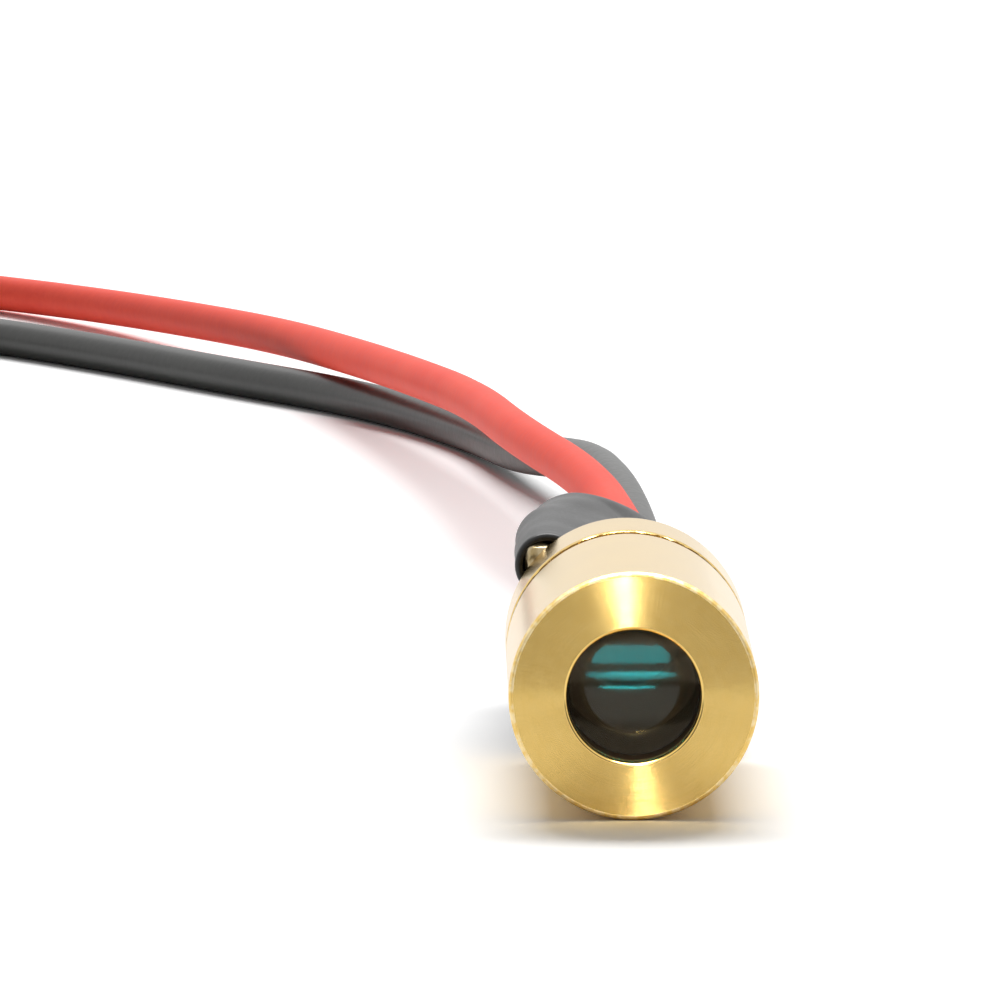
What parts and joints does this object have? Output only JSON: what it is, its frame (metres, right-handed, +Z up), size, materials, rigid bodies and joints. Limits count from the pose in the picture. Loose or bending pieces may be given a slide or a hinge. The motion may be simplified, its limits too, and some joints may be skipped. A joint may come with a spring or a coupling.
{
  "type": "laser diode module",
  "caption": "Small brass laser diode module: coated lens behind a round aperture, driver board in a flattened black shrink sleeve, and red and black leads with tinned ends.",
  "frame": {"origin": "on the surface the module lies on, under the middle of its body without the leads", "axes": "+Z up, -Y along the beam, +X to the right when looking along +Y into the aperture"},
  "size_m": [0.042, 0.1154, 0.006],
  "materials": {
    "brass": "fine turned, bare",
    "lens_glass": "coated, polished",
    "window_glass": "polished",
    "seal_glass": "fused",
    "spring_steel": "drawn",
    "plated_steel": "gold plated",
    "nickel_can": "nickel plated",
    "copper": "bare copper",
    "semiconductor": "polished die",
    "board_laminate": "solder mask",
    "black_moulding": "moulded",
    "chip_black": "glazed",
    "chip_tan": "fired",
    "tin": "bright tin",
    "sleeve_black": "satin heat-shrink film",
    "red_insulation": "smooth extruded",
    "black_insulation": "smooth extruded"
  },
  "bodies": {
    "root": {"front_cap": "brass", "barrel": "brass", "collimating_lens": "lens_glass", "lens_spring": "spring_steel", "diode_stem": "plated_steel", "diode_can": "nickel_can", "diode_window": "window_glass", "heat_sink_post": "copper", "laser_chip": "semiconductor", "monitor_photodiode": "semiconductor", "anode_pin": "plated_steel", "monitor_pin": "plated_steel", "case_pin": "plated_steel", "pin_seals": "seal_glass", "driver_board": "board_laminate", "driver_transistor": "black_moulding", "transistor_leads": "tin", "current_resistor": "chip_black", "filter_capacitor": "chip_tan", "chip_terminals": "tin", "pin_solder": "tin", "wire_solder": "tin", "board_solder": "tin", "shrink_sleeve": "sleeve_black", "red_wire": "red_insulation", "black_wire": "black_insulation", "red_conductor": "tin", "black_conductor": "tin", "red_tinned_end": "tin", "black_tinned_end": "tin"}
  },
  "joints": []
}
